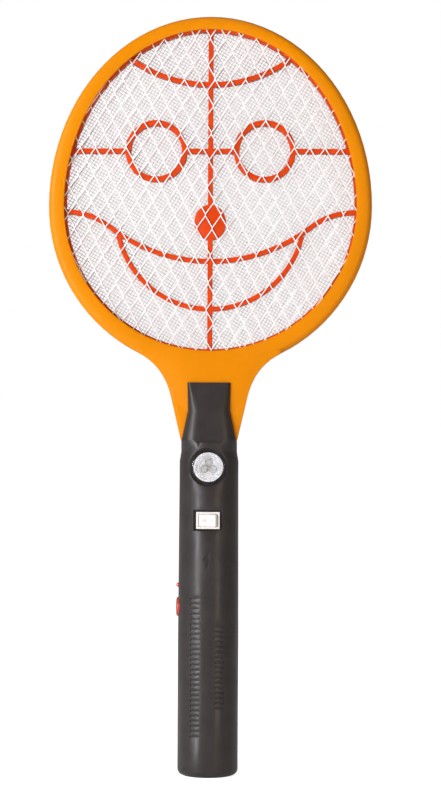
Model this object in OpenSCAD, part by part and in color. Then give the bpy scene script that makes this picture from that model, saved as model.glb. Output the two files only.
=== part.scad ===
// Rechargeable electric fly swatter with a built-in torch.
// Millimetres. Z runs up the handle, the front faces -Y, and the handle's end stands on Z = 0.

/* [Overall size] */
// Height from the handle's end to the top of the head
total_length = 510; // [480:5:620]
// Width across the outside of the head's ring
head_width = 217.4; // [180:0.2:262]
// Height of the head above its widest line
head_rise = 127.5; // [106:0.5:153]
// Height of the head below its widest line
head_drop = 110; // [92:0.5:132]
// Thickness of the head, front to back
head_thickness = 17.2; // [15:0.1:21]
// Outside diameter of the grip
handle_diameter = 40.8; // [36:0.2:49]

/* [Head ring] */
// Width of the ring's face at its sides
rim_side = 10.3; // [8:0.1:13]
// Width of the ring's face at the top
rim_top = 8.7; // [7:0.1:11]
// Width of the ring's face at the bottom
rim_bottom = 12.7; // [10:0.1:16]
// Rounding of the ring's outer edge
rim_rounding = 4; // [2:0.1:4.5]
// How far the outer grids lie behind the ring's face
lip_depth = 3.6; // [2:0.1:4]

/* [Grids and spacers] */
// Width of one diamond in the outer grids
diamond_width = 10.3; // [8:0.1:13]
// Height of one diamond in the outer grids
diamond_height = 18.3; // [15:0.1:24]
// Sideways lean of the diamonds
diamond_lean = 3.8; // [0:0.1:8]
// Width of a strand in the outer grids
strand_width = 0.6; // [0.5:0.1:1.4]
// Height of the bond where four strands meet
bond_height = 1.2; // [0.4:0.1:3]
// Pitch of the middle grid's square holes
mesh_pitch = 7; // [6:0.5:12]
// Width of a wire in the middle grid
mesh_wire = 0.7; // [0.4:0.1:1]
// Slope of the middle grid's wires
mesh_slope = 30; // [0:1:45]
// Width of the spacers' ribs
rib_width = 3.2; // [2:0.1:4.5]
// Diameter of a spacer's eye ring, to the middle of its rib
eye_diameter = 38; // [30:0.5:44]

/* [Handle] */
// Thickness of the handle's shell
shell_wall = 2.2; // [1.6:0.1:3]
// Rounding of the handle's end
end_rounding = 4; // [2:0.1:6]
// Diameter of the torch lens
lens_diameter = 21.4; // [18:0.1:24]
// Width of the rocker switch's frame
rocker_width = 15.6; // [14:0.1:18]
// Height of the rocker switch's frame
rocker_height = 11.2; // [10:0.1:13]
// Angle that the rocker swings through
rocker_swing = 20; // [14:1:24]
// Diameter of the zap button
button_diameter = 13.2; // [10:0.1:15]
// How far the zap button goes in
button_travel = 1.5; // [1:0.1:1.8]

/* [Charging plug] */
// Diameter of a plug pin
pin_diameter = 4; // [3.6:0.1:4.8]
// Distance between the plug pins
pin_spacing = 18.6; // [17:0.1:19.2]
// How far the plug slides out
plug_travel = 19; // [15:0.5:19]

/* [Hidden] */
$fn = 64;
slip = 0.15; // gap around pieces that only fit together
gap = 0.3; // gap around pieces that move
pilot = 0.05; // gap around a screw in its pilot hole
round_steps = 96; // points round the head's outlines
curve_steps = 14; // points along a curved rib

// The ring's opening, measured from the head's widest line.
opening_half = head_width / 2 - rim_side;
opening_rise = head_rise - rim_top;
opening_drop = head_drop - rim_bottom;

// Layers of the head, as distances from the middle plane.
head_half = head_thickness / 2;
grid_sheet = 0.8;
middle_sheet = 0.6;
grid_face = head_half - lip_depth;
spacer_face = grid_face - grid_sheet;
spacer_back = middle_sheet / 2;

// Heights that place the head on the handle.
head_z = total_length - head_rise;
head_base = head_z - head_drop;
pocket_step = 2.4; // width of the lip over the grids
diamond_shift = [-2.75, 3.4]; // from the head's middle to the middle of a diamond
spacer_show = 1.2; // width of the spacer's rim that shows inside the lip

// The smiling face's drawing, and its eyes' places.
face_half = 98.4;
face_rise = 118.8;
face_drop = 97.3;
eye_x = 36.5 * opening_half / face_half;
eye_z = head_z + 37.3 * opening_rise / face_rise;

// The handle's radii and heights. Heights are shares of the handle's length, so they spread with it.
grip_radius = handle_diameter / 2;
upper_radius = 0.972 * grip_radius;
neck_radius = 0.922 * grip_radius;
taper_start = 0.33 * head_base;
taper_end = 0.73 * head_base;
shoulder_z = 0.774 * head_base;
throat_z = head_base - 47.5;
body_top = throat_z - 1;
torch_z = head_base - 65;
rocker_z = 0.631 * head_base;
button_z = 0.414 * head_base;
led_z = button_z + 14.7;
mark_z = 0.536 * head_base;

// The tongue that the handle's shells lay over the throat.
tongue_top = head_base - 8.5;
tongue_bend = head_base - 27.5;
tongue_half = 0.711 * grip_radius;
tongue_cover = 2;
cheek_z = throat_z + 0.5;
cheek_flat = 2.1;

// The throat that carries the ring into the handle.
throat_half = 1.25 * grip_radius;
throat_bend = head_base - 18.5;
tail_half = 0.59 * grip_radius;
tail_z = throat_z - 4.2;
channel_half = 6;
channel_face = head_half - 2.4;
neck_screw_x = 9.2;
neck_screw_z = head_base - 34;
neck_screw_seat = head_half + 1.6;

// Inside the handle, from its end upwards.
inner_radius = grip_radius - shell_wall;
floor_top = 2.6;
plug_z = 22;
plug_block = [26, 12, 11];
knob_width = 10;
knob_height = 8;
knob_floor = grip_radius - 2.2;
battery_z = 44;
lower_screw_z = 39.6;
board_z = button_z - 14.35;
middle_screw_z = board_z - 5;
battery_size = [24, 17, middle_screw_z - 4.5 - battery_z];
upper_screw_z = (rocker_z + torch_z) / 2 - 1.8;
body_screw_seat = 11;
board_top = rocker_z + 8;
board_face = 3.4;
board_thickness = 1.6;
board_half = 12.6;

// The torch, from the lens back.
lens_radius = lens_diameter / 2;
torch_recess = lens_radius + 2.3;
torch_seat = upper_radius - 4.6;
reflector_radius = lens_radius - 1.4;
reflector_back = torch_seat - 9.2;

// The rocker switch, from its frame back.
rocker_seat = grip_radius - 4;
rocker_front = rocker_seat + 2;
rocker_pivot = rocker_seat + 0.8;
rocker_back = rocker_seat - 8.9;
paddle_radius = rocker_width / 2 - 1.65;
paddle_half = rocker_height / 2 - 1.6;

// The zap button, from its cap inwards along X.
button_radius = button_diameter / 2;
button_face = grip_radius + 1.2;
flange_radius = button_radius + 1.1;
flange_face = sqrt(pow(inner_radius - 0.5, 2) - pow(flange_radius, 2));
flange_back = flange_face - 1;
switch_size = [6.2, 6.2, 6.2];
switch_face = flange_back - 3.7;

// ---- Curves ----

// The head's outline, brought in by a distance at its sides, top and bottom.
function oval(side, top, bottom) = [
    for (i = [0 : round_steps - 1])
        let (turn = 360 * i / round_steps)
        [
            (head_width / 2 - side) * cos(turn),
            head_z + (turn < 180 ? head_rise - top : head_drop - bottom) * sin(turn)
        ]
];

function inset_oval(d) = oval(d, d, d);

// The ring's opening, grown outwards by a distance.
function opening_oval(grow) = oval(rim_side - grow, rim_top - grow, rim_bottom - grow);

function in_opening(p, grow) =
    let (tall = p[1] > head_z ? opening_rise : opening_drop)
    pow(p[0] / (opening_half + grow), 2) + pow((p[1] - head_z) / (tall + grow), 2) < 1;

function arc(centre, radius, from, to, steps) = [
    for (i = [0 : steps])
        let (turn = from + (to - from) * i / steps)
        centre + radius * [cos(turn), sin(turn)]
];

function bend(a, b, c, steps) = [
    for (i = [0 : steps])
        let (t = i / steps)
        pow(1 - t, 2) * a + 2 * t * (1 - t) * b + t * t * c
];

function reversed(list) = [for (i = [len(list) - 1 : -1 : 0]) list[i]];

function mirrored(path) = [for (p = reversed(path)) [-p[0], p[1]]];

function unit(v) = v / norm(v);

// A half section of the neck: flat at y = 0, with rounded corners towards the front.
function half_section(half, depth, corner) = concat(
    [[half, 0]],
    arc([half - corner, corner - depth], corner, 0, -90, 8),
    arc([corner - half, corner - depth], corner, -90, -180, 8),
    [[-half, 0]]
);

// ---- Building blocks ----

// Extrudes an outline drawn in X and Z from one y to a larger one.
module slab(y_from, y_to) {
    translate([0, y_to, 0])
        rotate([90, 0, 0])
            linear_extrude(y_to - y_from)
                children();
}

module each_slab(y_from, y_to) {
    for (i = [0 : $children - 1])
        slab(y_from, y_to)
            children(i);
}

module rod_y(radius, x, z, y_from, y_to) {
    translate([x, y_to, z])
        rotate([90, 0, 0])
            cylinder(r = radius, h = y_to - y_from);
}

module rod_x(radius, y, z, x_from, x_to) {
    translate([x_from, y, z])
        rotate([0, 90, 0])
            cylinder(r = radius, h = x_to - x_from);
}

module rod_z(radius, x, y, z_from, z_to) {
    translate([x, y, z_from])
        cylinder(r = radius, h = z_to - z_from);
}

module block(from, to) {
    translate(from)
        cube(to - from);
}

// Turns a profile of radius and forward distance about an axis that faces the front.
module turned_to_front(x, z) {
    translate([x, 0, z])
        rotate([90, 0, 0])
            rotate_extrude()
                children();
}

// A flat strip of even width along a path.
module strip(path, width) {
    last = len(path) - 1;
    sides = [
        for (i = [0 : last])
            let (along = unit(path[min(i + 1, last)] - path[max(i - 1, 0)]))
            [-along[1], along[0]] * width / 2
    ];
    polygon(concat(
        [for (i = [0 : last]) path[i] + sides[i]],
        reversed([for (i = [0 : last]) path[i] - sides[i]])
    ));
}

// A round wire along a path in space.
module wire(path, radius) {
    sides = 8;
    last = len(path) - 1;
    start = unit(path[1] - path[0]);
    helper = abs(start[2]) < 0.8 ? [0, 0, 1] : [0, 1, 0];
    rings = [
        for (i = [0 : last])
            let (
                along = unit(path[min(i + 1, last)] - path[max(i - 1, 0)]),
                across = unit(cross(along, helper)),
                over = cross(along, across)
            )
            for (k = [0 : sides - 1])
                path[i] + radius * (cos(360 * k / sides) * across + sin(360 * k / sides) * over)
    ];
    walls = [
        for (i = [0 : last - 1], k = [0 : sides - 1])
            let (a = i * sides + k, b = i * sides + (k + 1) % sides)
            [a, b, b + sides, a + sides]
    ];
    ends = [
        reversed([for (k = [0 : sides - 1]) k]),
        [for (k = [0 : sides - 1]) last * sides + k]
    ];
    polyhedron(rings, concat(walls, ends));
}

// A self-tapping screw along Y, with its head towards the back.
module screw(x, z, y_tip, y_seat, shank, head) {
    rod_y(shank, x, z, y_tip, y_seat);
    difference() {
        rod_y(head, x, z, y_seat, y_seat + 1.6);
        for (turn = [0, 90])
            translate([x, y_seat + 1.2, z])
                rotate([0, turn, 0])
                    cube([head * 1.3, 1, 0.5], center = true);
    }
}

// ---- Head ----

// Runs its children at each of the ring's screws.
module at_ring_screws() {
    for (turn = [0, 40, 90, 140, 180, 222, 318])
        translate([
            (head_width / 2 - 4.6) * cos(turn),
            0,
            head_z + ((turn <= 180 ? head_rise : head_drop) - 4.6) * sin(turn)
        ])
            children();
}

module throat_outline() {
    a = head_width / 2;
    join_x = 0.44 * a;
    join_z = head_z - head_drop * sqrt(1 - pow(join_x / a, 2));
    slope = head_drop * join_x / (a * a * sqrt(1 - pow(join_x / a, 2)));
    low = [neck_radius, throat_z];
    high = [throat_half, throat_bend];
    lean = (high[1] - low[1]) / (high[0] - low[0]);
    corner_x = (join_z - high[1] + lean * high[0] - slope * join_x) / (lean - slope);
    corner = [corner_x, high[1] + lean * (corner_x - high[0])];
    right = concat(
        [[tail_half, tail_z], [tail_half, throat_z], low],
        bend(high, corner, [join_x, join_z], 10),
        [[join_x, join_z + 3]]
    );
    polygon(concat(right, mirrored(right)));
}

// One half of the ring, for the front. The back one is its mirror image.
module ring_half() {
    difference() {
        union() {
            hull() {
                slab(rim_rounding - head_half, 0)
                    polygon(inset_oval(0));
                for (turn = [30, 60, 90])
                    slab(
                        rim_rounding * (1 - sin(turn)) - head_half,
                        rim_rounding * (1 - sin(turn)) - head_half + 0.01
                    )
                        polygon(inset_oval(rim_rounding * (1 - cos(turn))));
            }
            slab(-head_half, 0)
                throat_outline();
        }
        slab(-head_half - 1, 1)
            polygon(opening_oval(0));
        slab(-grid_face, 1)
            polygon(opening_oval(pocket_step));
        slab(-channel_face, 1)
            translate([-channel_half, tail_z - 1])
                square([2 * channel_half, head_base + rim_bottom - tail_z + 2]);
        for (side = [-1, 1])
            rod_y(1.6, side * neck_screw_x, neck_screw_z, -head_half - 1, 1);
    }
}

module front_ring() {
    color("#f79a08")
        difference() {
            ring_half();
            at_ring_screws()
                rod_y(1.1 + pilot, 0, 0, -head_half + 2.2, 1);
        }
}

module rear_ring() {
    color("#f79a08")
        difference() {
            mirror([0, 1, 0])
                ring_half();
            at_ring_screws() {
                rod_y(1.4, 0, 0, -1, head_half + 1);
                rod_y(2.2, 0, 0, head_half - 2.2, head_half + 1);
            }
        }
}

module ring_screws() {
    color("#b8bcc2")
        at_ring_screws()
            screw(0, 0, -head_half + 2.6, head_half - 2.2, 1.1, 2);
}

// One hole of an outer grid, by its place in the lattice: a diamond whose side corners are cut
// short by the bonds.
function diamond(column, row) =
    let (
        half = (diamond_width - strand_width) / 2,
        slope = (diamond_height / 2 - bond_height) / (diamond_width / 2),
        short = bond_height / 2,
        tall = short + slope * half - strand_width / 2 * (sqrt(1 + slope * slope) - slope),
        side = tall - slope * half,
        z = row * diamond_height / 2 + diamond_shift[1],
        x = (column + (row % 2 == 0 ? 0 : 0.5)) * diamond_width + diamond_shift[0]
    )
    [
        for (corner = concat(
            [[half, -side], [half, side], [0, tall]],
            [[-half, side], [-half, -side], [0, -tall]]
        ))
            let (rise = z + corner[1])
            [x + corner[0] + rise * tan(diamond_lean), head_z + rise]
    ];

// One square hole of the middle grid, by its place in the lattice.
function mesh_hole(column, row) =
    let (
        half = (mesh_pitch - mesh_wire) / 2,
        centre = mesh_pitch * [column, row]
    )
    [
        for (corner = [[1, 1], [-1, 1], [-1, -1], [1, -1]])
            let (p = centre + half * corner)
            [
                p[0] * cos(mesh_slope) + p[1] * sin(mesh_slope),
                head_z - p[0] * sin(mesh_slope) + p[1] * cos(mesh_slope)
            ]
    ];

// Cuts the holes that reach into the opening, and trims those that cross its edge.
module cut_holes(holes) {
    for (hole = holes) {
        corners_in = len([for (p = hole) if (in_opening(p, 0.6)) p]);
        if (corners_in == len(hole))
            polygon(hole);
        else if (corners_in > 0)
            intersection() {
                polygon(hole);
                polygon(opening_oval(0.6));
            }
    }
}

// A grid's sheet: a rim under the lip, a solder tab in the wire channel, and the holes.
module grid_outline(holes, tab_x) {
    difference() {
        union() {
            polygon(opening_oval(pocket_step - 0.4));
            translate([tab_x - 1.4, head_base + rim_bottom - 8])
                square([2.8, 8]);
        }
        cut_holes(holes);
    }
}

function diamonds() =
    let (
        columns = ceil(head_width / diamond_width / 2) + 1,
        rows = ceil(2 * max(head_rise, head_drop) / diamond_height)
    )
    [for (row = [-rows : rows], column = [-columns : columns]) diamond(column, row)];

function mesh_holes() =
    let (reach = ceil(max(head_width / 2, head_rise, head_drop) / mesh_pitch) + 1)
    [for (row = [-reach : reach], column = [-reach : reach]) mesh_hole(column, row)];

module front_grid() {
    color("#f4f4f0")
        slab(-grid_face, -spacer_face)
            grid_outline(diamonds(), -4.2);
}

module rear_grid() {
    color("#f4f4f0")
        slab(spacer_face, grid_face)
            grid_outline(diamonds(), 4.2);
}

module middle_grid() {
    color("#d9dbd8")
        slab(-middle_sheet / 2, middle_sheet / 2)
            grid_outline(mesh_holes(), 0);
}

// Places a point of the smiling face, drawn for an opening of face_half by face_rise and
// face_drop, and spread to the ring's opening.
function face(x, z) = [
    x * opening_half / face_half,
    head_z + z * (z > 0 ? opening_rise / face_rise : opening_drop / face_drop)
];

function on_face(path) = [for (p = path) face(p[0], p[1])];

// The upper lip's right half: a wide arc, then a bend out to the rim.
function upper_lip() =
    let (
        radius = 111,
        centre_z = -36.9 + radius,
        turn = asin(68 / radius),
        end = [radius * sin(turn), centre_z - radius * cos(turn)],
        rim_z = -3.7,
        corner = [end[0] + (rim_z - end[1]) / tan(turn), rim_z]
    )
    on_face(concat(
        arc([0, centre_z], radius, turn / curve_steps - 90, turn - 90, curve_steps - 1),
        bend(end, corner, [face_half, rim_z], curve_steps)
    ));

module eye(x) {
    translate([x, eye_z])
        difference() {
            circle(d = eye_diameter + rib_width + 0.5);
            circle(d = eye_diameter - rib_width - 0.5);
        }
}

module cheek_bar(x_from, x_to) {
    translate([x_from, eye_z - rib_width / 2])
        square([x_to - x_from, rib_width]);
}

module nose() {
    polygon([
        for (i = [0 : 23])
            face(10.7 * cos(15 * i), -10.7 + 12 * sin(15 * i))
    ]);
}

// The smiling face's ribs, each extruded by itself.
module face_ribs(y_from, y_to) {
    eye_edge = eye_diameter / 2;
    each_slab(y_from, y_to) {
        translate([-rib_width / 2, head_z - head_drop])
            square([rib_width, head_drop + head_rise]);
        eye(-eye_x);
        eye(eye_x);
        cheek_bar(-opening_half, -eye_x - eye_edge);
        cheek_bar(eye_edge - eye_x, eye_x - eye_edge);
        cheek_bar(eye_x + eye_edge, opening_half);
        strip(on_face(arc([0, 175.5], 93.4, -124.5, -55.5, 2 * curve_steps)), rib_width);
        strip(concat(mirrored(upper_lip()), upper_lip()), rib_width);
        strip(on_face(arc([0, -5.7], 63.4, -167, -13, 2 * curve_steps)), rib_width);
        nose();
    }
}

module spacer(y_from, y_to) {
    color("#e04a1c")
        union() {
            slab(y_from, y_to)
                difference() {
                    polygon(opening_oval(pocket_step - slip));
                    polygon(opening_oval(-spacer_show));
                }
            intersection() {
                face_ribs(y_from, y_to);
                slab(y_from, y_to)
                    polygon(opening_oval(0));
            }
        }
}

module front_spacer() {
    spacer(-spacer_face, -spacer_back);
}

module rear_spacer() {
    spacer(spacer_back, spacer_face);
}

// ---- Handle shells ----

function body_profile(inset, bottom, top) = concat(
    [[0, bottom]],
    arc(
        [grip_radius - end_rounding, bottom + end_rounding - inset],
        end_rounding - inset, -90, 0, 8
    ),
    [
        [grip_radius - inset, taper_start],
        [upper_radius - inset, taper_end],
        [upper_radius - inset, shoulder_z],
        [neck_radius - inset, throat_z - 8],
        [neck_radius - inset, top],
        [0, top]
    ]
);

module body_half(inset, bottom, top) {
    rotate([0, 0, 180])
        rotate_extrude(angle = 180)
            polygon(body_profile(inset, bottom, top));
}

// One stretch of the neck's front half between two levels.
module neck_stretch(z_from, section_from, z_to, section_to) {
    hull() {
        translate([0, 0, z_from])
            linear_extrude(0.01)
                polygon(section_from);
        translate([0, 0, z_to - 0.01])
            linear_extrude(0.01)
                polygon(section_to);
    }
}

// The section where the neck's flare turns into the tongue.
function bend_section(inset) =
    let (
        half = tongue_half - inset,
        depth = head_half + tongue_cover - inset + (tongue_top - tongue_bend) * 0.195
    )
    half_section(half, depth, 0.55 * half);

// The section just above the body, with cheeks that reach the throat's edges.
function cheek_section(inset) =
    let (half = neck_radius - 0.2 - inset)
    half_section(half, half - cheek_flat, 0.54 * neck_radius - inset);

module neck_flare(inset) {
    neck_stretch(cheek_z, cheek_section(inset), tongue_bend, bend_section(inset));
}

module neck_half(inset) {
    foot = neck_radius - 0.3 - inset;
    neck_stretch(
        cheek_z - 7.5, half_section(foot, foot, foot - 0.01),
        cheek_z + 0.01, cheek_section(inset)
    );
    neck_flare(inset);
    neck_stretch(
        tongue_bend - 0.01, bend_section(inset),
        tongue_top - inset,
        half_section(tongue_half - inset, head_half + tongue_cover - inset, 2.4)
    );
}

module outer_half() {
    body_half(0, 0, body_top);
    neck_half(0);
}

// The space that the ring's throat takes from the shells.
module throat_space() {
    block(
        [-2 * throat_half, -head_half - 0.05, throat_z - 0.05],
        [2 * throat_half, 1, head_z]
    );
    block(
        [-tail_half - slip, -head_half - 0.05, tail_z - slip],
        [tail_half + slip, 1, throat_z]
    );
}

function body_screw_places() = [[0, lower_screw_z], [0, middle_screw_z], [0, upper_screw_z]];

function neck_screw_places() = [[-neck_screw_x, neck_screw_z], [neck_screw_x, neck_screw_z]];

// Walls inside a shell that hold the battery and guide the plug, on the front side.
module inner_ribs() {
    battery_half = battery_size[0] / 2 - 1;
    for (z = [battery_z + 8, battery_z + battery_size[2] - 9])
        block(
            [-battery_half, -inner_radius - 0.5, z],
            [battery_half, -battery_size[1] / 2 - slip, z + 1.6]
        );
    for (x = [-9.6, 8])
        block(
            [x, -inner_radius - 0.5, floor_top - 0.5],
            [x + 1.6, -plug_block[1] / 2 - gap, plug_z + plug_block[2] + 2]
        );
}

// A hollow front half with its ribs and screw posts, before the front or back gets its own cuts.
module shell_half() {
    difference() {
        outer_half();
        body_half(shell_wall, floor_top, body_top - 2);
        neck_half(shell_wall);
        throat_space();
    }
    intersection() {
        body_half(shell_wall / 2, 0, body_top);
        union() {
            inner_ribs();
            for (place = body_screw_places())
                rod_y(3.2, place[0], place[1], -grip_radius, 0);
        }
    }
    intersection() {
        neck_flare(shell_wall / 2);
        for (place = neck_screw_places())
            rod_y(3.2, place[0], place[1], -grip_radius, -head_half - 0.05);
    }
}

// Openings on the seam that both shells share.
module seam_openings() {
    rod_x(button_radius + gap, 0, button_z, -grip_radius - 5, -5);
    rod_x(1.5 + slip, 0, led_z, -grip_radius - 5, -5);
    for (side = [-1, 1])
        rod_z(pin_diameter / 2 + gap, side * pin_spacing / 2, 0, -1, floor_top + 1);
}

// Two columns of shallow bars for grip, set a little into the surface.
module grip_bars() {
    columns = [[-34, -14, 0.099, 0.444], [14, 34, 0.169, 0.371]];
    for (column = columns)
        for (z = [column[2] * head_base : 3.4 : column[3] * head_base])
            rotate([0, 0, column[0] - 90])
                rotate_extrude(angle = column[1] - column[0])
                    translate([upper_radius - 0.3, z])
                        square([grip_radius - upper_radius + 1, 1.3]);
}

// A shallow lightning bolt.
module bolt_mark() {
    bolt = [[1.2, 6.5], [-3.6, -0.9], [-0.5, -0.9], [-1.4, -6.5], [3.6, 1.2], [0.5, 1.2]];
    intersection() {
        slab(-grip_radius - 1, -5)
            translate([0, mark_z])
                polygon(bolt);
        difference() {
            rod_z(grip_radius + 1, 0, 0, mark_z - 8, mark_z + 8);
            rod_z(upper_radius - 0.3, 0, 0, mark_z - 9, mark_z + 9);
        }
    }
}

module handle_front() {
    recess_half = rocker_width / 2 + 2.05;
    recess_tall = rocker_height / 2 + 1.45;
    color("#3a3839")
        difference() {
            union() {
                shell_half();
                intersection() {
                    body_half(shell_wall / 2, 0, body_top);
                    union() {
                        rod_y(torch_recess + 1.8, 0, torch_z, -grip_radius, -torch_seat + 2);
                        block(
                            [-recess_half - 1.4, -grip_radius, rocker_z - recess_tall - 1.4],
                            [recess_half + 1.4, -rocker_seat + 2, rocker_z + recess_tall + 1.4]
                        );
                    }
                }
            }
            rod_y(torch_recess, 0, torch_z, -grip_radius - 1, -torch_seat);
            rod_y(reflector_radius + slip, 0, torch_z, -grip_radius, 0);
            block(
                [-recess_half, -grip_radius - 1, rocker_z - recess_tall],
                [recess_half, -rocker_seat, rocker_z + recess_tall]
            );
            block(
                [-rocker_width / 2 + 0.4, -grip_radius, rocker_z - rocker_height / 2 + 0.3],
                [rocker_width / 2 - 0.4, -5, rocker_z + rocker_height / 2 - 0.3]
            );
            seam_openings();
            grip_bars();
            bolt_mark();
            for (place = body_screw_places())
                rod_y(1.1 + pilot, place[0], place[1], -8.6, 1);
            for (place = neck_screw_places())
                rod_y(1.1 + pilot, place[0], place[1], -12.2, 1);
        }
}

// The space that the plug's knob slides in, grown by a margin, from a distance behind the seam.
module knob_track(width, margin, y_from) {
    low = plug_z + plug_block[2] / 2 - knob_height / 2 - plug_travel;
    high = plug_z + plug_block[2] / 2 + knob_height / 2;
    block(
        [-width / 2 - margin, y_from, low - margin],
        [width / 2 + margin, grip_radius + 1, high + margin]
    );
}

module handle_rear() {
    color("#3a3839")
        difference() {
            union() {
                mirror([0, 1, 0])
                    shell_half();
                intersection() {
                    mirror([0, 1, 0])
                        body_half(shell_wall / 2, 0, body_top);
                    union() {
                        knob_track(knob_width, 2, knob_floor - 1.8);
                        for (place = board_screw_places())
                            rod_y(
                                2.6, place[0], place[1],
                                board_face + board_thickness, grip_radius
                            );
                    }
                }
            }
            knob_track(knob_width, gap, knob_floor);
            knob_track(knob_width - 3.6, gap, knob_floor - 8);
            seam_openings();
            for (place = board_screw_places())
                rod_y(1 + pilot, place[0], place[1], board_face, board_face + 8);
            screw_wells(body_screw_places(), body_screw_seat);
            screw_wells(neck_screw_places(), neck_screw_seat);
        }
}

// Clearance holes and head wells for screws that come in from the back.
module screw_wells(places, seat) {
    for (place = places) {
        rod_y(1.5, place[0], place[1], -1, grip_radius + 1);
        rod_y(2.8, place[0], place[1], seat, grip_radius + 1);
    }
}

module handle_screws() {
    color("#9a9ea4") {
        for (place = body_screw_places())
            screw(place[0], place[1], -8, body_screw_seat, 1.1, 2.5);
        for (place = neck_screw_places())
            screw(place[0], place[1], -11.6, neck_screw_seat, 1.1, 2.5);
    }
}

// ---- Torch ----

module torch_lens() {
    bulge = 1.4;
    front = torch_seat + 2.6;
    dome = (lens_radius * lens_radius + bulge * bulge) / (2 * bulge);
    dome_turn = asin(lens_radius / dome);
    color("#eef4f8", 0.5)
        turned_to_front(0, torch_z)
            polygon(concat(
                [[0, front - 1.2]],
                [[lens_radius - 0.9, front - 1.2]],
                [[lens_radius - 0.9, torch_seat]],
                [[lens_radius, torch_seat]],
                arc([0, front + bulge - dome], dome, 90 - dome_turn, 90, 10)
            ));
}

// The inside of the mirror, from its throat to its mouth.
function bowl() = [
    for (i = [0 : 12])
        let (r = 4.6 + (reflector_radius - 5.4) * i / 12)
        [r, reflector_back + 1 + (torch_seat - reflector_back - 0.2) * pow(i / 12, 1.7)]
];

module torch_reflector() {
    edge = lens_radius - 0.9 - 0.06;
    mouth = torch_seat + 1.2;
    color("#d4d8dc")
        difference() {
            turned_to_front(0, torch_z)
                polygon(concat(
                    [[0, reflector_back], [0, reflector_back + 1]],
                    bowl(),
                    [
                        [reflector_radius - 0.8, mouth],
                        [edge, mouth],
                        [edge, torch_seat + 0.02],
                        [reflector_radius, torch_seat + 0.02],
                        [reflector_radius, reflector_back]
                    ]
                ));
            at_torch_leds()
                rod_y(2.6, 0, 0, -reflector_back - 2, -reflector_back + 1);
        }
}

module at_torch_leds() {
    for (turn = [90, 210, 330])
        translate([3.1 * cos(turn), 0, torch_z + 3.1 * sin(turn)])
            children();
}

module torch_leds() {
    base = reflector_back - 1.1;
    color("#f6f6e8")
        at_torch_leds()
            turned_to_front(0, 0)
                polygon(concat(
                    [[0, base + 0.02], [2.5, base + 0.02], [2.5, base + 4]],
                    arc([0, base + 4], 2.5, 0, 90, 8)
                ));
}

module torch_board() {
    color("#2c6b3c")
        rod_y(reflector_radius - 0.8, 0, torch_z, 1.1 - reflector_back, 2.3 - reflector_back);
}

// ---- Rocker switch ----

module rocker_frame() {
    body_half_width = rocker_width / 2 - 0.6;
    body_half_height = rocker_height / 2 - 0.5;
    color("#efece2")
        difference() {
            union() {
                block(
                    [-rocker_width / 2, -rocker_front, rocker_z - rocker_height / 2],
                    [rocker_width / 2, -rocker_seat, rocker_z + rocker_height / 2]
                );
                block(
                    [-body_half_width, -rocker_seat, rocker_z - body_half_height],
                    [body_half_width, -rocker_back, rocker_z + body_half_height]
                );
            }
            block(
                [-paddle_radius - gap, -rocker_front - 1, rocker_z - paddle_half - gap],
                [paddle_radius + gap, -rocker_seat + 3.4, rocker_z + paddle_half + gap]
            );
            rod_z(
                0.85, 0, -rocker_pivot,
                rocker_z - paddle_half - 1.1, rocker_z + paddle_half + 1.1
            );
            rocker_terminals_shape(0.02);
        }
}

// The paddle swings about Z. It rests with its left end pressed in.
module rocker_paddle() {
    lift = 25;
    foot = 1.6;
    foot_turn = asin(foot / paddle_radius);
    color("#f4f1e8")
        translate([0, -rocker_pivot, rocker_z])
            rotate([0, 0, -rocker_swing / 2]) {
                translate([0, 0, -paddle_half])
                    linear_extrude(2 * paddle_half)
                        polygon(concat(
                            arc([0, 0], paddle_radius, -lift, foot_turn, 8),
                            arc([0, 0], paddle_radius, 180 - foot_turn, 180 + lift, 8),
                            [[0, -1.75]]
                        ));
                rod_z(0.8, 0, 0, -paddle_half - 0.9, paddle_half + 0.9);
            }
}

module rocker_terminals_shape(grow) {
    for (x = [-4.2, 4.2])
        block(
            [x - 0.3 - grow, -rocker_back - 3, rocker_z - 1.8 - grow],
            [x + 0.3 + grow, -rocker_back + 5, rocker_z + 1.8 + grow]
        );
}

module rocker_terminals() {
    color("#c9a24a")
        difference() {
            rocker_terminals_shape(0);
            rod_x(0.6, -rocker_back + 3.6, rocker_z, -6, 6);
        }
}

// ---- Zap button and its switch ----

module zap_button() {
    crown = button_face - 1.6;
    color("#d8402a")
        union() {
            translate([0, 0, button_z])
                rotate([0, -90, 0])
                    rotate_extrude()
                        polygon(concat(
                            [[0, flange_back], [flange_radius, flange_back]],
                            [[flange_radius, flange_face], [button_radius, flange_face]],
                            arc([button_radius - 1.6, crown], 1.6, 0, 90, 6),
                            [[0, button_face]]
                        ));
            rod_x(1.9, 0, button_z, -flange_back - 0.1, -flange_back + 1.7);
        }
}

module button_spring() {
    turns = 3;
    steps = 14;
    length = flange_back - switch_face - 0.6;
    color("#c8ccd0")
        wire(
            [
                for (i = [0 : turns * steps])
                    [
                        -flange_back + 0.3 + length * i / (turns * steps),
                        2.6 * cos(360 * i / steps),
                        button_z + 2.6 * sin(360 * i / steps)
                    ]
            ],
            0.24
        );
}

module switch_plunger() {
    color("#202020")
        rod_x(1.5, 0, button_z, -flange_back + 1.72, -switch_face + 1.9);
}

module switch_body() {
    half = switch_size[1] / 2;
    color("#57595c")
        difference() {
            union() {
                block(
                    [-switch_face, -half, button_z - half],
                    [-switch_face + switch_size[0], half, button_z + half]
                );
                for (z = [button_z - 2.2, button_z + 2.2])
                    block(
                        [-switch_face + 4.4, half - 0.1, z - 0.35],
                        [-switch_face + 5, board_face, z + 0.35]
                    );
            }
            rod_x(1.5 + gap, 0, button_z, -switch_face - 1, -switch_face + 1.9 + button_travel + gap);
        }
}

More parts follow.
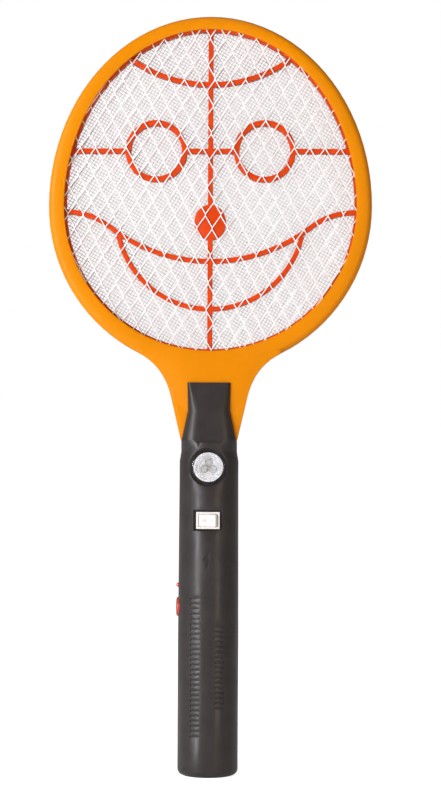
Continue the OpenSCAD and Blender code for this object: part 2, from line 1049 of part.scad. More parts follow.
module indicator_led() {
    tip = grip_radius + 1.3;
    back = tip - 6.3;
    color("#d8301c")
        union() {
            translate([0, 0, led_z])
                rotate([0, -90, 0])
                    rotate_extrude()
                        polygon(concat(
                            [[0, back], [1.9, back], [1.9, back + 1], [1.5, back + 1]],
                            arc([0, tip - 1.5], 1.5, 0, 90, 8)
                        ));
            for (z = [led_z - 1.27, led_z + 1.27]) {
                block([-back - 0.1, -0.25, z - 0.25], [-10, 0.25, z + 0.25]);
                block([-10.5, -0.25, z - 0.25], [-10, board_face, z + 0.25]);
            }
        }
}

// ---- Circuit board ----

function board_screw_places() = [
    [-8.6, board_z + 5],
    [8.6, board_z + 5],
    [0, board_top - 4.4]
];

module main_board() {
    color("#b98a4a")
        difference() {
            block(
                [-board_half, board_face, board_z],
                [board_half, board_face + board_thickness, board_top]
            );
            for (place = board_screw_places())
                rod_y(1.2, place[0], place[1], 0, 10);
        }
}

module board_screws() {
    color("#b8bcc2")
        for (place = board_screw_places()) {
            rod_y(1, place[0], place[1], board_face - 0.1, board_face + 6);
            rod_y(2, place[0], place[1], board_face - 1.5, board_face);
        }
}

module transformer_core() {
    z = mark_z + 0.5;
    color("#4a4644")
        difference() {
            block([-8.5, -6.2, z - 7], [8.5, -1.2, z + 7]);
            for (x = [-6.3, 2.5])
                block([x, -7, z - 4.4], [x + 3.8, 0, z + 4.4]);
        }
}

module transformer_coil() {
    z = mark_z + 0.5;
    color("#c9642c")
        difference() {
            block([-6.1, -9.4, z - 4.3], [6.1, board_face, z + 4.3]);
            block([-2.55, -6.25, z - 5], [2.55, -1.15, z + 5]);
        }
}

module zap_capacitor() {
    color("#8a2f22")
        block([2, -6.8, led_z - 5.4], [9.5, board_face, led_z + 5.6]);
}

module mains_capacitor() {
    color("#d8a81c")
        block([3.2, -5.4, button_z - 4], [9.2, board_face, button_z + 6.2]);
}

// A part with a round body lying on the board and a bent leg at each end.
module axial_part(x, z, radius, length) {
    y = board_face - radius - 0.3;
    rod_z(radius, x, y, z - length / 2, z + length / 2);
    rod_z(0.3, x, y, z - length / 2 - 1.6, z + length / 2 + 1.6);
    for (end = [-1, 1])
        rod_y(0.3, x, z + end * (length / 2 + 1.5), y, board_face);
}

module resistors() {
    color("#d9c29a")
        for (x = [-8.6, -5.2, 5.2, 8.6])
            axial_part(x, rocker_z - 9.6, 1.1, 6);
}

module diodes() {
    color("#2c2c2e")
        for (x = [-11, -8])
            for (z = [led_z + 4, button_z + 7.5])
                axial_part(x + 5, z, 0.9, 3.2);
}

module transistor() {
    radius = 2.3;
    x = switch_size[0] - switch_face + radius + 0.54;
    z = button_z - 4;
    color("#232325")
        union() {
            block([x - radius, -4, z - 1], [x + radius, 1.2, z + 1]);
            rod_y(radius, x, z, -4, 1.2);
            for (leg = [-1.27, 0, 1.27])
                block([x + leg - 0.25, 1, z - 0.25], [x + leg + 0.25, board_face, z + 0.25]);
        }
}

// ---- Battery and charging plug ----

module battery() {
    half = battery_size / 2;
    color("#33518c")
        block([-half[0], -half[1], battery_z], [half[0], half[1], battery_z + battery_size[2]]);
}

module battery_tabs() {
    top = battery_z + battery_size[2];
    color("#c8ccd0")
        for (x = [-7.5, 7.5])
            block([x - 1.6, -0.3, top], [x + 1.6, 0.3, top + 3.4]);
}

// The pins, their tails and their side feet, grown by a distance.
module plug_metal(grow) {
    foot_z = plug_z + 5;
    for (side = [-1, 1]) {
        rod_z(pin_diameter / 2 + grow, side * pin_spacing / 2, 0, 0.8, plug_z + 8 + grow);
        block(
            [min(side * pin_spacing / 2, side * 13.2), -1.5 - grow, foot_z - grow],
            [max(side * pin_spacing / 2, side * 13.2), 1.5 + grow, foot_z + 2 + grow]
        );
    }
}

module plug_carrier() {
    half = plug_block / 2;
    color("#e6e4dc")
        difference() {
            block([-half[0], -half[1], plug_z], [half[0], half[1], plug_z + plug_block[2]]);
            plug_metal(0.01);
            block([-2.6, half[1] - 3, plug_z + 2.4], [2.6, half[1] + 1, plug_z + plug_block[2] - 2.4]);
        }
}

module plug_pins() {
    color("#c8ccd0")
        plug_metal(0);
}

module plug_knob() {
    middle = plug_z + plug_block[2] / 2;
    color("#3a3839")
        difference() {
            union() {
                block(
                    [-2.55, plug_block[1] / 2 - 2.95, plug_z + 2.45],
                    [2.55, knob_floor + 0.3, plug_z + plug_block[2] - 2.45]
                );
                intersection() {
                    block(
                        [-knob_width / 2, knob_floor + 0.15, middle - knob_height / 2],
                        [knob_width / 2, grip_radius, middle + knob_height / 2]
                    );
                    rod_z(grip_radius - 0.15, 0, 0, middle - knob_height, middle + knob_height);
                }
            }
            for (z = [-2.4 : 1.6 : 2.4])
                translate([0, grip_radius, middle + z])
                    cube([knob_width + 1, 1.1, 0.7], center = true);
        }
}

// Spring strips that the plug's feet meet when the plug is out.
module charge_contacts() {
    low = plug_z + 6 - plug_travel;
    strip_profile = [
        [13.5, low - 2], [13.9, low - 2], [13.9, low + 1], [15, low + 3.2], [15, 42],
        [14.6, 42], [14.6, low + 3.4], [13.5, low + 1.2]
    ];
    color("#c9a24a")
        for (side = [0, 1])
            mirror([side, 0, 0])
                slab(-2, 2)
                    polygon(strip_profile);
}

// ---- Leads ----

// A lead from the board, past the torch and up the throat's channel to an outer grid.
module grid_lead(side, y) {
    wire(
        [
            [side * 7.4, 2.6, board_top - 1],
            [side * 7.8, 0, board_top + 8],
            [side * 7.6, 0, torch_z - 6],
            [side * 5, 1, tail_z - 2],
            [side * 4.2, 0.6 * y, throat_z + 12],
            [side * 4.2, y, head_base - 10],
            [side * 4.2, y, head_base + rim_bottom - 4]
        ],
        0.55
    );
}

module front_grid_lead() {
    color("#c02020")
        grid_lead(-1, -3.6);
}

module middle_grid_lead() {
    color("#f0f0f0")
        wire(
            [
                [9.9, 2.6, board_top - 3],
                [10.4, 1.5, torch_z - 8],
                [6.4, 4, torch_z + 2.5],
                [2, 3.2, tail_z - 2],
                [0.3, 1.8, throat_z + 10],
                [0, 0.86, head_base - 10],
                [0, 0.86, head_base + rim_bottom - 4]
            ],
            0.55
        );
}

module rear_grid_lead() {
    color("#202020")
        grid_lead(1, 3.6);
}

// A lead from one of the battery's tabs to the board.
module battery_lead(side) {
    tab_top = battery_z + battery_size[2] + 3;
    wire(
        [
            [side * 7.5, -0.9, tab_top - 2],
            [side * 7.5, -1.4, tab_top + 2],
            [side * 5.4, 0.6, board_z + 4.5],
            [side * 5, 2.8, board_z + 8]
        ],
        0.6
    );
}

module battery_lead_red() {
    color("#c02020")
        battery_lead(1);
}

module battery_lead_black() {
    color("#202020")
        battery_lead(-1);
}

// A lead from the torch's board down to the main board.
module torch_lead(side) {
    back = 2.4 - reflector_back;
    wire(
        [
            [side * 2.4, back + 0.4, torch_z - 4],
            [side * 4.4, back + 2, torch_z - 9],
            [side * 5.4, 0.6, upper_screw_z - 2],
            [side * 5.4, 2.8, board_top - 5]
        ],
        0.5
    );
}

module torch_lead_red() {
    color("#c02020")
        torch_lead(1);
}

module torch_lead_black() {
    color("#202020")
        torch_lead(-1);
}

module rocker_leads() {
    color("#c02020")
        for (side = [-1, 1])
            wire(
                [
                    [side * 5.1, -rocker_back + 3.6, rocker_z],
                    [side * 7.4, -rocker_back + 4.4, rocker_z - 1.6],
                    [side * 8.4, -0.5, rocker_z - 2],
                    [side * 8, 2.9, rocker_z - 2.4]
                ],
                0.5
            );
}

module charge_leads() {
    color("#202020")
        for (side = [-1, 1])
            wire(
                [
                    [side * 15.6, 0, 40],
                    [side * 15.6, 0.6, battery_z + 8],
                    [side * 15.2, 1.2, battery_z + battery_size[2] - 6],
                    [side * 12.4, 1.6, board_z - 2],
                    [side * 11.4, 2.9, board_z + 6]
                ],
                0.5
            );
}

front_ring();
rear_ring();
front_grid();
front_spacer();
middle_grid();
rear_spacer();
rear_grid();
ring_screws();
handle_front();
handle_rear();
handle_screws();
torch_lens();
torch_reflector();
torch_leds();
torch_board();
rocker_frame();
rocker_paddle();
rocker_terminals();
zap_button();
button_spring();
switch_plunger();
switch_body();
indicator_led();
main_board();
board_screws();
transformer_core();
transformer_coil();
zap_capacitor();
mains_capacitor();
resistors();
diodes();
transistor();
battery();
battery_tabs();
plug_carrier();
plug_pins();
plug_knob();
charge_contacts();
front_grid_lead();
middle_grid_lead();
rear_grid_lead();
battery_lead_red();
battery_lead_black();
torch_lead_red();
torch_lead_black();
rocker_leads();
charge_leads();
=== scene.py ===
"""Looks for the electric fly swatter: materials, fine pieces, light and camera."""

import math

import bmesh
import bpy
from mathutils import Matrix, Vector


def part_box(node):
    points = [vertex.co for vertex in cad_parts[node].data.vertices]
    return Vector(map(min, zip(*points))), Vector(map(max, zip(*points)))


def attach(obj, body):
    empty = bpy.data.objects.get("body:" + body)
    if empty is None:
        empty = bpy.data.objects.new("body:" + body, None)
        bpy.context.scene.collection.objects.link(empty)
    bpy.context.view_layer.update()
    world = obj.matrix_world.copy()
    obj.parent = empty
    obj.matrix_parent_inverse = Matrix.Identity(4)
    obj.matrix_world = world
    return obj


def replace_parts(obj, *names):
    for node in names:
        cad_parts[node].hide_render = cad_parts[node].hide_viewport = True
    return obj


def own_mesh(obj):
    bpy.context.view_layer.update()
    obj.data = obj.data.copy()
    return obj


MM = 0.001

# The head's outlines, as in the CAD.
HEAD_HALF_WIDTH = 108.7 * MM
HEAD_RISE = 127.5 * MM
HEAD_DROP = 110 * MM
HEAD_Z = 382.5 * MM
RIM_SIDE = 10.3 * MM
RIM_TOP = 8.7 * MM
RIM_BOTTOM = 12.7 * MM
LIP_OVERLAP = 2.0 * MM

# The middle grid's woven wires.
WIRE_PITCH = 2.1 * MM
WIRE_RADIUS = 0.22 * MM
WEAVE = 0.4 * WIRE_RADIUS
WIRE_SLOPE = math.radians(30)

# The rocker's paddle: its face is a shallow V about the pivot.
ROCKER_PIVOT = Vector((0, -17.2, 171.95)) * MM
ROCKER_REST = math.radians(-10)
PADDLE_HALF_WIDTH = 5.57 * MM
PADDLE_END_DEPTH = 2.6 * MM
PADDLE_MIDDLE_DEPTH = 1.75 * MM

# The marks printed on the paddle.
OFF_RING_X = -2 * MM
OFF_RING_RADIUS = 0.75 * MM
OFF_LINE_RADIUS = 0.13 * MM
ON_BAR_X = 3.2 * MM
ON_BAR_HALF = 0.8 * MM
ON_LINE_RADIUS = 0.14 * MM

# The zap button's spring.
SPRING_RADIUS = 2.6 * MM
SPRING_WIRE_RADIUS = 0.24 * MM
SPRING_TURNS = 5

FLOOR_HALF = 20.0

# The camera, in front of the bat.
CAMERA_CENTRE = Vector((0.0075, 0, 0.2523))
CAMERA_DISTANCE = 1.499
CAMERA_YAW = math.radians(1.5)
CAMERA_ROLL = math.radians(-0.3)


# ---- Materials ----


class Finish:
    """A Principled material whose colour, roughness and relief vary with noise."""

    def __init__(self, name, color, roughness, metallic=0.0):
        self.material = bpy.data.materials.new(name)
        self.material.use_nodes = True
        tree = self.material.node_tree
        self.nodes = tree.nodes
        self.links = tree.links
        self.shader = self.nodes["Principled BSDF"]
        self.color = (*color, 1)
        self.roughness = roughness
        self.coords = self.nodes.new("ShaderNodeTexCoord")
        self.relief = None
        self.shader.inputs["Base Color"].default_value = self.color
        self.shader.inputs["Roughness"].default_value = roughness
        self.shader.inputs["Metallic"].default_value = metallic

    def noise(self, size, detail=3.0, stretch=(1, 1, 1)):
        """Noise with features of a size in metres, drawn out along an axis by a low stretch."""
        place = self.nodes.new("ShaderNodeMapping")
        place.inputs["Scale"].default_value = stretch
        self.links.new(self.coords.outputs["Object"], place.inputs["Vector"])
        noise = self.nodes.new("ShaderNodeTexNoise")
        noise.inputs["Scale"].default_value = 1 / size
        noise.inputs["Detail"].default_value = detail
        self.links.new(place.outputs["Vector"], noise.inputs["Vector"])
        return noise.outputs["Fac"]

    def spread(self, value, low, high):
        """Maps a noise value's middle range onto low to high."""
        reach = self.nodes.new("ShaderNodeMapRange")
        reach.inputs["From Min"].default_value = 0.35
        reach.inputs["From Max"].default_value = 0.65
        reach.inputs["To Min"].default_value = low
        reach.inputs["To Max"].default_value = high
        self.links.new(value, reach.inputs["Value"])
        return reach.outputs["Result"]

    def mottle(self, size, amount):
        """Slow changes of shade, as in moulded plastic or handled metal."""
        shade = self.nodes.new("ShaderNodeHueSaturation")
        shade.inputs["Color"].default_value = self.color
        value = self.spread(self.noise(size), 1 - amount, 1 + amount)
        self.links.new(value, shade.inputs["Value"])
        self.links.new(shade.outputs["Color"], self.shader.inputs["Base Color"])
        return self

    def scuff(self, size, amount, stretch=(1, 1, 1)):
        """Rubbed and duller patches."""
        value = self.spread(
            self.noise(size, 5, stretch), self.roughness - amount, self.roughness + amount
        )
        self.links.new(value, self.shader.inputs["Roughness"])
        return self

    def grain(self, size, depth, stretch=(1, 1, 1)):
        """Fine relief; a second call adds to the first."""
        bump = self.nodes.new("ShaderNodeBump")
        bump.inputs["Distance"].default_value = depth
        bump.inputs["Strength"].default_value = 1.0
        self.links.new(self.noise(size, 4, stretch), bump.inputs["Height"])
        if self.relief:
            self.links.new(self.relief, bump.inputs["Normal"])
        self.relief = bump.outputs["Normal"]
        self.links.new(self.relief, self.shader.inputs["Normal"])
        return self

    def set(self, **values):
        """Sets sockets by their names, with underscores for spaces."""
        for name, value in values.items():
            self.shader.inputs[name.replace("_", " ")].default_value = value
        return self


def orange_plastic():
    finish = Finish("orange_plastic", (0.61, 0.2, 0.0), 0.4)
    finish.set(Specular_IOR_Level=0.1)
    finish.mottle(30 * MM, 0.03).scuff(12 * MM, 0.06)
    finish.grain(0.7 * MM, 0.006 * MM).grain(9 * MM, 0.02 * MM)
    return finish.material


def red_plastic():
    finish = Finish("red_plastic", (0.54, 0.042, 0.0), 0.42)
    finish.set(Specular_IOR_Level=0.18)
    finish.mottle(20 * MM, 0.05).scuff(8 * MM, 0.07).grain(0.6 * MM, 0.006 * MM)
    return finish.material


def black_plastic():
    finish = Finish("black_plastic", (0.028, 0.024, 0.023), 0.36)
    finish.set(Specular_IOR_Level=0.26)
    finish.mottle(14 * MM, 0.12).scuff(10 * MM, 0.07, (1, 1, 0.3))
    finish.grain(0.35 * MM, 0.02 * MM).grain(6 * MM, 0.03 * MM)
    return finish.material


def white_grid():
    finish = Finish("white_grid", (0.84, 0.83, 0.83), 0.38)
    finish.mottle(9 * MM, 0.04).scuff(5 * MM, 0.08).grain(0.5 * MM, 0.012 * MM)
    return finish.material


def steel_mesh():
    finish = Finish("steel_mesh", (0.78, 0.76, 0.77), 0.34, metallic=0.6)
    finish.mottle(6 * MM, 0.06).scuff(5 * MM, 0.08).grain(0.15 * MM, 0.004 * MM)
    return finish.material


def zinc_screw():
    finish = Finish("zinc_screw", (0.62, 0.62, 0.6), 0.3, metallic=1.0)
    finish.mottle(2 * MM, 0.08).scuff(1.5 * MM, 0.1).grain(0.2 * MM, 0.005 * MM)
    return finish.material


def clear_lens():
    finish = Finish("clear_lens", (0.97, 0.98, 1.0), 0.04)
    finish.set(Transmission_Weight=1.0, IOR=1.46)
    finish.scuff(4 * MM, 0.03).grain(3 * MM, 0.006 * MM)
    return finish.material


def mirror_plastic():
    finish = Finish("mirror_plastic", (0.88, 0.87, 0.89), 0.26, metallic=0.6)
    # The emission is a painted glow: it brightens the reflector as if it caught more light.
    finish.set(Emission_Color=(1, 0.98, 1, 1), Emission_Strength=0.25)
    finish.mottle(4 * MM, 0.03).scuff(3 * MM, 0.05).grain(1.6 * MM, 0.03 * MM)
    return finish.material


def led_epoxy():
    finish = Finish("led_epoxy", (0.95, 0.94, 0.9), 0.12)
    finish.set(Transmission_Weight=0.4, IOR=1.5)
    finish.mottle(2 * MM, 0.04).scuff(2 * MM, 0.05).grain(1 * MM, 0.003 * MM)
    return finish.material


def red_led():
    finish = Finish("red_led", (0.72, 0.06, 0.02), 0.18)
    finish.set(Subsurface_Weight=0.2, Subsurface_Scale=1 * MM)
    finish.mottle(2 * MM, 0.05).scuff(2 * MM, 0.05).grain(0.8 * MM, 0.004 * MM)
    return finish.material


def red_button():
    finish = Finish("red_button", (0.4, 0.06, 0.035), 0.34)
    finish.mottle(5 * MM, 0.06).scuff(4 * MM, 0.08).grain(0.5 * MM, 0.008 * MM)
    return finish.material


def cream_nylon():
    finish = Finish("cream_nylon", (0.74, 0.72, 0.69), 0.3)
    finish.mottle(6 * MM, 0.02).scuff(4 * MM, 0.06).grain(0.5 * MM, 0.006 * MM)
    return finish.material


def ivory_nylon():
    finish = Finish("ivory_nylon", (0.8, 0.77, 0.68), 0.45)
    finish.mottle(6 * MM, 0.03).scuff(4 * MM, 0.06).grain(0.5 * MM, 0.012 * MM)
    return finish.material


def red_paint():
    finish = Finish("red_paint", (0.5, 0.03, 0.02), 0.5)
    finish.mottle(1.2 * MM, 0.12).scuff(1 * MM, 0.08).grain(0.3 * MM, 0.004 * MM)
    return finish.material


def nickel():
    finish = Finish("nickel", (0.74, 0.72, 0.68), 0.22, metallic=1.0)
    finish.mottle(3 * MM, 0.05).scuff(2.5 * MM, 0.08, (1, 1, 0.15))
    finish.grain(0.3 * MM, 0.004 * MM, (1, 1, 0.1))
    return finish.material


def brass():
    finish = Finish("brass", (0.78, 0.53, 0.2), 0.28, metallic=1.0)
    finish.mottle(3 * MM, 0.09).scuff(2 * MM, 0.08).grain(0.3 * MM, 0.005 * MM)
    return finish.material


def spring_steel():
    finish = Finish("spring_steel", (0.6, 0.6, 0.62), 0.25, metallic=1.0)
    finish.mottle(1 * MM, 0.06).scuff(1 * MM, 0.06).grain(0.2 * MM, 0.003 * MM)
    return finish.material


def switch_nylon():
    finish = Finish("switch_nylon", (0.05, 0.05, 0.055), 0.5)
    finish.mottle(3 * MM, 0.1).scuff(2 * MM, 0.07).grain(0.3 * MM, 0.01 * MM)
    return finish.material


def board_laminate(name, color):
    finish = Finish(name, color, 0.42)
    finish.mottle(5 * MM, 0.1).scuff(4 * MM, 0.08).grain(0.6 * MM, 0.012 * MM, (1, 0.3, 1))
    return finish.material


def ferrite():
    finish = Finish("ferrite", (0.055, 0.05, 0.048), 0.6)
    finish.mottle(2 * MM, 0.2).scuff(2 * MM, 0.1).grain(0.3 * MM, 0.03 * MM)
    return finish.material


def copper_tape():
    finish = Finish("copper_tape", (0.62, 0.25, 0.06), 0.3)
    finish.mottle(3 * MM, 0.08).scuff(2 * MM, 0.08).grain(0.35 * MM, 0.03 * MM, (0.05, 0.05, 1))
    return finish.material


def dipped_epoxy(name, color):
    finish = Finish(name, color, 0.3)
    finish.mottle(3 * MM, 0.08).scuff(3 * MM, 0.08).grain(1.5 * MM, 0.03 * MM)
    return finish.material


def resistor_paint():
    finish = Finish("resistor_paint", (0.66, 0.48, 0.27), 0.4)
    finish.mottle(1.5 * MM, 0.1).scuff(1 * MM, 0.08).grain(0.6 * MM, 0.01 * MM)
    return finish.material


def battery_wrap():
    finish = Finish("battery_wrap", (0.04, 0.11, 0.34), 0.35)
    finish.mottle(12 * MM, 0.08).scuff(6 * MM, 0.08).grain(2 * MM, 0.02 * MM)
    return finish.material


def wire_sleeve(name, color):
    finish = Finish(name, color, 0.42)
    finish.mottle(5 * MM, 0.06).scuff(3 * MM, 0.06).grain(0.4 * MM, 0.008 * MM)
    return finish.material


def pale_floor():
    """Nearly white, so that only a soft shadow shows on it. It lights the bat less than it shows."""
    finish = Finish("pale_floor", (0.9, 0.9, 0.9), 0.7)
    finish.set(Emission_Color=(1, 1, 1, 1))
    path = finish.nodes.new("ShaderNodeLightPath")
    glow = finish.nodes.new("ShaderNodeMapRange")
    glow.inputs["To Min"].default_value = 0.25
    glow.inputs["To Max"].default_value = 0.84
    finish.links.new(path.outputs["Is Camera Ray"], glow.inputs["Value"])
    finish.links.new(glow.outputs["Result"], finish.shader.inputs["Emission Strength"])
    finish.mottle(400 * MM, 0.01)
    return finish.material


# ---- Mesh pieces ----


def add_object(name, mesh, material, body):
    obj = bpy.data.objects.new(name, mesh)
    bpy.context.scene.collection.objects.link(obj)
    mesh.materials.append(material)
    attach(obj, body)
    return obj


def finished_mesh(bm, name):
    mesh = bpy.data.meshes.new(name)
    bm.to_mesh(mesh)
    bm.free()
    return mesh


def smooth(mesh):
    mesh.polygons.foreach_set("use_smooth", [True] * len(mesh.polygons))


def inside_grid(x, z):
    """Whether a point, from the head's centre, is inside the oval that the middle grid fills."""
    half = HEAD_HALF_WIDTH - RIM_SIDE + LIP_OVERLAP
    if z > 0:
        tall = HEAD_RISE - RIM_TOP + LIP_OVERLAP
    else:
        tall = HEAD_DROP - RIM_BOTTOM + LIP_OVERLAP
    return (x / half) ** 2 + (z / tall) ** 2 < 1


def chord(offset, direction, across):
    """How far a straight wire at an offset from the head's centre runs each way in the oval."""
    ends = []
    for way in (-1, 1):
        low, high = 0.0, 2 * HEAD_RISE
        for _ in range(40):
            mid = (low + high) / 2
            x = across[0] * offset + way * mid * direction[0]
            z = across[1] * offset + way * mid * direction[1]
            if inside_grid(x, z):
                low = mid
            else:
                high = mid
        ends.append(way * low)
    return ends


def add_tube(bm, points, radius, sides):
    """A round tube through points, closed at both ends."""
    rings = []
    for i, point in enumerate(points):
        along = (points[min(i + 1, len(points) - 1)] - points[max(i - 1, 0)]).normalized()
        helper = Vector((0, 1, 0)) if abs(along.y) < 0.8 else Vector((0, 0, 1))
        across = along.cross(helper).normalized()
        over = along.cross(across)
        rings.append([
            bm.verts.new(
                point
                + radius * math.cos(2 * math.pi * k / sides) * across
                + radius * math.sin(2 * math.pi * k / sides) * over
            )
            for k in range(sides)
        ])
    for low, high in zip(rings, rings[1:]):
        for k in range(sides):
            after = (k + 1) % sides
            bm.faces.new((low[k], low[after], high[after], high[k]))
    bm.faces.new(reversed(rings[0]))
    bm.faces.new(rings[-1])


def middle_mesh(material):
    """The fine woven grid: two families of thin wires that pass over and under each other."""
    bm = bmesh.new()
    count = int(2 * HEAD_RISE / WIRE_PITCH)
    for family in (0, 1):
        slope = family * math.pi / 2 - WIRE_SLOPE
        direction = (math.cos(slope), math.sin(slope))
        across = (-direction[1], direction[0])
        for i in range(-count // 2, count // 2 + 1):
            offset = i * WIRE_PITCH
            start, end = chord(offset, direction, across)
            if end - start < 2 * WIRE_PITCH:
                continue
            first = math.ceil(start / WIRE_PITCH)
            last = math.floor(end / WIRE_PITCH)
            points = []
            for j in range(first, last + 1):
                weave = WEAVE * (1 if (i + j + family) % 2 else -1)
                x = across[0] * offset + direction[0] * j * WIRE_PITCH
                z = across[1] * offset + direction[1] * j * WIRE_PITCH
                points.append(Vector((x, weave, HEAD_Z + z)))
            if len(points) > 1:
                add_tube(bm, points, WIRE_RADIUS, 4)
    mesh = finished_mesh(bm, "middle_mesh")
    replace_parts(add_object("middle_mesh", mesh, material, "bat"), "middle_grid")


def coil_spring(material):
    """The zap button's return spring."""
    low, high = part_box("button_spring")
    centre_z = (low[2] + high[2]) / 2
    thickness = high[0] - low[0]
    pitch = (thickness - 2 * SPRING_WIRE_RADIUS) / SPRING_TURNS
    steps_per_turn = 16
    points = []
    for i in range(steps_per_turn * SPRING_TURNS + 1):
        turns = i / steps_per_turn
        turn = 2 * math.pi * turns
        points.append(Vector((
            low[0] + SPRING_WIRE_RADIUS + pitch * turns,
            SPRING_RADIUS * math.cos(turn),
            centre_z + SPRING_RADIUS * math.sin(turn),
        )))
    bm = bmesh.new()
    add_tube(bm, points, SPRING_WIRE_RADIUS, 8)
    mesh = finished_mesh(bm, "coil_spring")
    smooth(mesh)
    spring = add_object("coil_spring", mesh, material, "bat")
    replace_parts(spring, "button_spring")
    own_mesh(spring)


def on_paddle(x, z):
    """A point on the paddle's face at rest, with x across it and z up it from the pivot."""
    slope = (PADDLE_END_DEPTH - PADDLE_MIDDLE_DEPTH) / PADDLE_HALF_WIDTH
    depth = PADDLE_MIDDLE_DEPTH + slope * abs(x)
    return ROCKER_PIVOT + Vector((
        x * math.cos(ROCKER_REST) + depth * math.sin(ROCKER_REST),
        x * math.sin(ROCKER_REST) - depth * math.cos(ROCKER_REST),
        z,
    ))


def rocker_marks(material):
    """The off ring and on bar printed on the rocker."""
    steps = 20
    ring = []
    for i in range(steps + 1):
        turn = 2 * math.pi * i / steps
        x = OFF_RING_X + OFF_RING_RADIUS * math.cos(turn)
        ring.append(on_paddle(x, OFF_RING_RADIUS * math.sin(turn)))
    bar = [on_paddle(ON_BAR_X, z) for z in (-ON_BAR_HALF, 0, ON_BAR_HALF)]
    bm = bmesh.new()
    add_tube(bm, ring, OFF_LINE_RADIUS, 6)
    add_tube(bm, bar, ON_LINE_RADIUS, 6)
    mesh = finished_mesh(bm, "rocker_marks")
    smooth(mesh)
    add_object("rocker_marks", mesh, material, "torch_rocker")


# ---- CAD pieces ----


def soften(obj, width):
    """Small round edges and smooth shading on a CAD piece."""
    weld = obj.modifiers.new("weld", "WELD")
    weld.merge_threshold = 0.001 * MM
    if width:
        bevel = obj.modifiers.new("bevel", "BEVEL")
        bevel.width = width
        bevel.segments = 2
        bevel.limit_method = "ANGLE"
        bevel.angle_limit = math.radians(40)
    smooth(obj.data)


def dress(frame, names, material, edge):
    """Gives CAD pieces a material and edges rounded by a width."""
    for name in names:
        obj = frame["nodes"][name]
        obj.data.materials.clear()
        obj.data.materials.append(material)
        soften(obj, edge)


def dress_cad(frame):
    dress(frame, ["front_ring", "rear_ring"], orange_plastic(), 0.5 * MM)
    dress(frame, ["front_spacer", "rear_spacer"], red_plastic(), 0.35 * MM)
    dress(frame, ["handle_front", "handle_rear", "plug_knob"], black_plastic(), 0.25 * MM)
    dress(frame, ["front_grid", "rear_grid"], white_grid(), 0.15 * MM)
    dress(frame, ["ring_screws", "handle_screws", "board_screws"], zinc_screw(), 0.1 * MM)
    dress(frame, ["torch_lens"], clear_lens(), 0.15 * MM)
    dress(frame, ["torch_reflector"], mirror_plastic(), 0.1 * MM)
    dress(frame, ["torch_leds"], led_epoxy(), 0.0)
    dress(frame, ["torch_board"], board_laminate("green_laminate", (0.04, 0.2, 0.07)), 0.1 * MM)
    dress(frame, ["rocker_frame", "rocker_paddle"], cream_nylon(), 0.25 * MM)
    dress(frame, ["rocker_terminals", "charge_contacts"], brass(), 0.05 * MM)
    dress(frame, ["zap_button"], red_button(), 0.15 * MM)
    dress(frame, ["indicator_led"], red_led(), 0.0)
    dress(frame, ["switch_body", "switch_plunger", "transistor"], switch_nylon(), 0.1 * MM)
    dress(frame, ["main_board"], board_laminate("tan_laminate", (0.47, 0.28, 0.1)), 0.1 * MM)
    dress(frame, ["transformer_core"], ferrite(), 0.2 * MM)
    dress(frame, ["transformer_coil"], copper_tape(), 0.4 * MM)
    dress(frame, ["zap_capacitor"], dipped_epoxy("brown_epoxy", (0.28, 0.05, 0.03)), 1 * MM)
    dress(frame, ["mains_capacitor"], dipped_epoxy("yellow_epoxy", (0.72, 0.42, 0.03)), 0.5 * MM)
    dress(frame, ["resistors"], resistor_paint(), 0.05 * MM)
    dress(frame, ["diodes"], dipped_epoxy("black_epoxy", (0.03, 0.03, 0.03)), 0.05 * MM)
    dress(frame, ["battery"], battery_wrap(), 0.8 * MM)
    dress(frame, ["battery_tabs", "plug_pins"], nickel(), 0.1 * MM)
    dress(frame, ["plug_carrier"], ivory_nylon(), 0.3 * MM)
    red = wire_sleeve("red_sleeve", (0.6, 0.02, 0.02))
    black = wire_sleeve("black_sleeve", (0.025, 0.025, 0.025))
    white = wire_sleeve("white_sleeve", (0.85, 0.85, 0.82))
    reds = ["front_grid_lead", "battery_lead_red", "torch_lead_red", "rocker_leads"]
    dress(frame, reds, red, 0.0)
    blacks = ["rear_grid_lead", "battery_lead_black", "torch_lead_black", "charge_leads"]
    dress(frame, blacks, black, 0.0)
    dress(frame, ["middle_grid_lead"], white, 0.0)


# ---- Stage, light and camera ----


def studio_floor():
    bm = bmesh.new()
    corners = [(-1, -1), (1, -1), (1, 1), (-1, 1)]
    bm.faces.new([bm.verts.new((x * FLOOR_HALF, y * FLOOR_HALF, 0)) for x, y in corners])
    mesh = finished_mesh(bm, "floor")
    mesh.materials.append(pale_floor())
    floor = bpy.data.objects.new("floor", mesh)
    bpy.context.scene.collection.objects.link(floor)


def white_world():
    """A white backdrop that lights the bat, and shows in its shine, less than the camera sees."""
    world = bpy.data.worlds.new("studio")
    world.use_nodes = True
    nodes = world.node_tree.nodes
    links = world.node_tree.links
    background = nodes["Background"]
    background.inputs["Color"].default_value = (1, 1, 1, 1)
    path = nodes.new("ShaderNodeLightPath")
    both = nodes.new("ShaderNodeMath")
    both.operation = "MULTIPLY"
    for i, (ray, share) in enumerate([("Is Diffuse Ray", 0.2), ("Is Glossy Ray", 0.24)]):
        strength = nodes.new("ShaderNodeMapRange")
        strength.inputs["To Min"].default_value = 1.0
        strength.inputs["To Max"].default_value = share
        links.new(path.outputs[ray], strength.inputs["Value"])
        links.new(strength.outputs["Result"], both.inputs[i])
    links.new(both.outputs["Value"], background.inputs["Strength"])
    bpy.context.scene.world = world


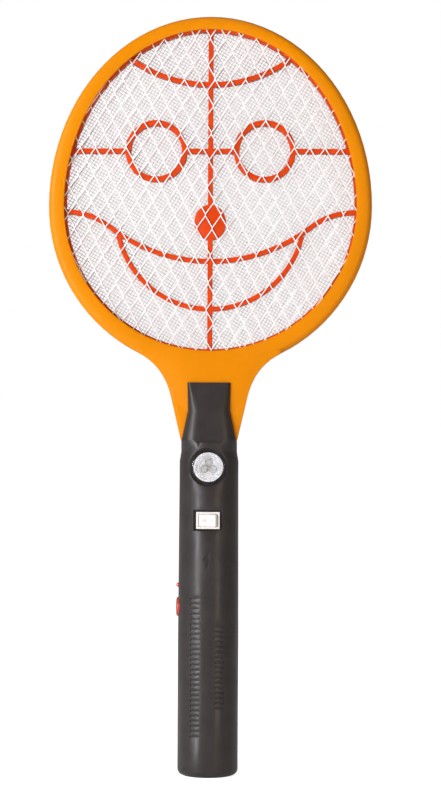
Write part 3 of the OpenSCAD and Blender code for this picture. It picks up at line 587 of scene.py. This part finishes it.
def area_light(name, place, target, width, height, power, color):
    """A rectangular lamp at a place, turned towards a target."""
    data = bpy.data.lights.new(name, "AREA")
    data.shape = "RECTANGLE"
    data.size = width
    data.size_y = height
    data.energy = power
    data.color = color
    light = bpy.data.objects.new(name, data)
    light.location = place
    aim = Vector(target) - Vector(place)
    light.rotation_euler = aim.to_track_quat("-Z", "Y").to_euler()
    bpy.context.scene.collection.objects.link(light)


def studio_lights():
    """The streak lamp draws the bright line down the handle's left, and the fill its warm right."""
    area_light("key", (-1.36, -0.88, 0.75), (0, 0, 0.3), 0.16, 0.4, 12.5, (1, 0.98, 0.97))
    area_light("streak", (-0.95, -1.1, 0.2), (0, 0, 0.2), 0.13, 0.9, 21, (0.95, 0.93, 1))
    area_light("fill", (0.9, -1.2, 0.25), (0, 0, 0.2), 0.25, 0.9, 6, (1, 0.8, 0.6))
    area_light("top", (0, -0.3, 1.6), (0, 0, 0.3), 0.8, 0.8, 3, (1, 1, 1))


def photo_camera():
    """A level view of the front, from slightly to the right."""
    data = bpy.data.cameras.new("camera")
    data.lens = 100
    data.dof.use_dof = False
    camera = bpy.data.objects.new("camera", data)
    back = Vector((math.sin(CAMERA_YAW), -math.cos(CAMERA_YAW), 0))
    camera.location = CAMERA_CENTRE + CAMERA_DISTANCE * back
    camera.rotation_euler = (math.radians(90), CAMERA_ROLL, CAMERA_YAW)
    bpy.context.scene.collection.objects.link(camera)
    bpy.context.scene.camera = camera


def plain_colours():
    scene = bpy.context.scene
    scene.view_settings.view_transform = "Standard"
    scene.view_settings.look = "None"


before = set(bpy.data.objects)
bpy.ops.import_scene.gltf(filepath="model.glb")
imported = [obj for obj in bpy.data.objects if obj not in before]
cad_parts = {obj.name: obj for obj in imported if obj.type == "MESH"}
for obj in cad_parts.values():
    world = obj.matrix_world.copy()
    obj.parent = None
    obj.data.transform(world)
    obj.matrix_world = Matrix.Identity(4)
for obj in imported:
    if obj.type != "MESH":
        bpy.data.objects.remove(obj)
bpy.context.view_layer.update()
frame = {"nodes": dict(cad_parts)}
dress_cad(frame)
middle_mesh(steel_mesh())
coil_spring(spring_steel())
rocker_marks(red_paint())
studio_floor()
white_world()
studio_lights()
photo_camera()
plain_colours()
